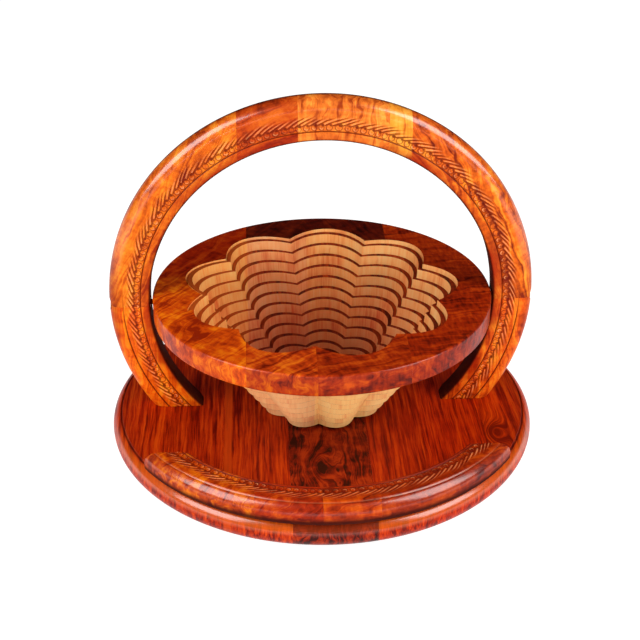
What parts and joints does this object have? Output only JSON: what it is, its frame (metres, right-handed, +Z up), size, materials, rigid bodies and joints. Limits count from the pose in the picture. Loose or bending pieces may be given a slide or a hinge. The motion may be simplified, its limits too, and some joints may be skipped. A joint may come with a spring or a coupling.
{
  "type": "collapsible basket",
  "caption": "Wooden basket sawn as a spiral from one disc, hung between the limbs of a folding ring handle over a round base with a carved rail.",
  "frame": {"origin": "middle of the base's underside, on the surface that the basket stands on", "axes": "+Z up, front (rail and carved side of the handle) towards -Y, pivot screws along X"},
  "size_m": [0.3048, 0.306, 0.2511],
  "materials": {
    "base_wood": "red-brown gloss varnish",
    "ring_wood": "orange-brown gloss varnish, carved border",
    "rim_wood": "dark orange-brown gloss varnish",
    "sawn_wood": "pale sawn faces, satin",
    "screw_brass": "dull brass"
  },
  "bodies": {
    "base": {"base_board_1": "base_wood", "base_board_2": "base_wood", "base_board_3": "base_wood", "base_board_4": "base_wood", "base_board_5": "base_wood", "base_board_6": "base_wood", "base_board_7": "base_wood", "rail_segment_1": "ring_wood", "rail_segment_2": "ring_wood", "rail_segment_3": "ring_wood", "rail_segment_4": "ring_wood"},
    "basket": {"rim_left": "rim_wood", "rim_right": "rim_wood", "rim_back_1": "rim_wood", "rim_front_1": "rim_wood", "rim_back_2": "rim_wood", "rim_front_2": "rim_wood", "pivot_screw_left": "screw_brass", "pivot_screw_right": "screw_brass"},
    "handle": {"handle_leg_left": "ring_wood", "handle_leg_right": "ring_wood", "handle_crown_1": "ring_wood", "handle_crown_2": "ring_wood", "handle_crown_3": "ring_wood", "handle_crown_4": "ring_wood", "handle_crown_5": "ring_wood", "handle_crown_6": "ring_wood"},
    "loop_01": {"spiral_loop_01": "sawn_wood"},
    "loop_02": {"spiral_loop_02": "sawn_wood"},
    "loop_03": {"spiral_loop_03": "sawn_wood"},
    "loop_04": {"spiral_loop_04": "sawn_wood"},
    "loop_05": {"spiral_loop_05": "sawn_wood"},
    "loop_06": {"spiral_loop_06": "sawn_wood"},
    "loop_07": {"spiral_loop_07": "sawn_wood"},
    "loop_08": {"spiral_loop_08": "sawn_wood"},
    "loop_09": {"spiral_loop_09": "sawn_wood"},
    "loop_10": {"spiral_loop_10": "sawn_wood"},
    "loop_11": {"spiral_loop_11": "sawn_wood"},
    "bottom": {"spiral_bottom": "sawn_wood"}
  },
  "joints": [
    {"name": "basket_lift", "type": "slide", "parent": "base", "child": "basket", "axis": [0, 0, 1], "range_m": [0, 0.12]},
    {"name": "handle_fold", "type": "hinge", "parent": "basket", "child": "handle", "pos_m": [0, 0, 0.1025], "axis": [-1, 0, 0], "range_deg": [0, 90]},
    {"name": "basket_collapse", "type": "slide", "parent": "basket", "child": "bottom", "axis": [0, 0, 1], "range_m": [0, 0.0749]},
    {"name": "loop_01_rise", "type": "slide", "parent": "basket", "child": "loop_01", "axis": [0, 0, 1], "range_m": [0, 0.0036]},
    {"name": "loop_02_rise", "type": "slide", "parent": "basket", "child": "loop_02", "axis": [0, 0, 1], "range_m": [0, 0.01041]},
    {"name": "loop_03_rise", "type": "slide", "parent": "basket", "child": "loop_03", "axis": [0, 0, 1], "range_m": [0, 0.01722]},
    {"name": "loop_04_rise", "type": "slide", "parent": "basket", "child": "loop_04", "axis": [0, 0, 1], "range_m": [0, 0.02403]},
    {"name": "loop_05_rise", "type": "slide", "parent": "basket", "child": "loop_05", "axis": [0, 0, 1], "range_m": [0, 0.03084]},
    {"name": "loop_06_rise", "type": "slide", "parent": "basket", "child": "loop_06", "axis": [0, 0, 1], "range_m": [0, 0.03765]},
    {"name": "loop_07_rise", "type": "slide", "parent": "basket", "child": "loop_07", "axis": [0, 0, 1], "range_m": [0, 0.04446]},
    {"name": "loop_08_rise", "type": "slide", "parent": "basket", "child": "loop_08", "axis": [0, 0, 1], "range_m": [0, 0.05127]},
    {"name": "loop_09_rise", "type": "slide", "parent": "basket", "child": "loop_09", "axis": [0, 0, 1], "range_m": [0, 0.05808]},
    {"name": "loop_10_rise", "type": "slide", "parent": "basket", "child": "loop_10", "axis": [0, 0, 1], "range_m": [0, 0.06489]},
    {"name": "loop_11_rise", "type": "slide", "parent": "basket", "child": "loop_11", "axis": [0, 0, 1], "range_m": [0, 0.0717]}
  ],
  "couplings": [
    {"joint": "loop_01_rise", "follows": "basket_collapse", "ratio": 0.04545},
    {"joint": "loop_02_rise", "follows": "basket_collapse", "ratio": 0.13636},
    {"joint": "loop_03_rise", "follows": "basket_collapse", "ratio": 0.22727},
    {"joint": "loop_04_rise", "follows": "basket_collapse", "ratio": 0.31818},
    {"joint": "loop_05_rise", "follows": "basket_collapse", "ratio": 0.40909},
    {"joint": "loop_06_rise", "follows": "basket_collapse", "ratio": 0.5},
    {"joint": "loop_07_rise", "follows": "basket_collapse", "ratio": 0.59091},
    {"joint": "loop_08_rise", "follows": "basket_collapse", "ratio": 0.68182},
    {"joint": "loop_09_rise", "follows": "basket_collapse", "ratio": 0.77273},
    {"joint": "loop_10_rise", "follows": "basket_collapse", "ratio": 0.86364},
    {"joint": "loop_11_rise", "follows": "basket_collapse", "ratio": 0.95455}
  ]
}
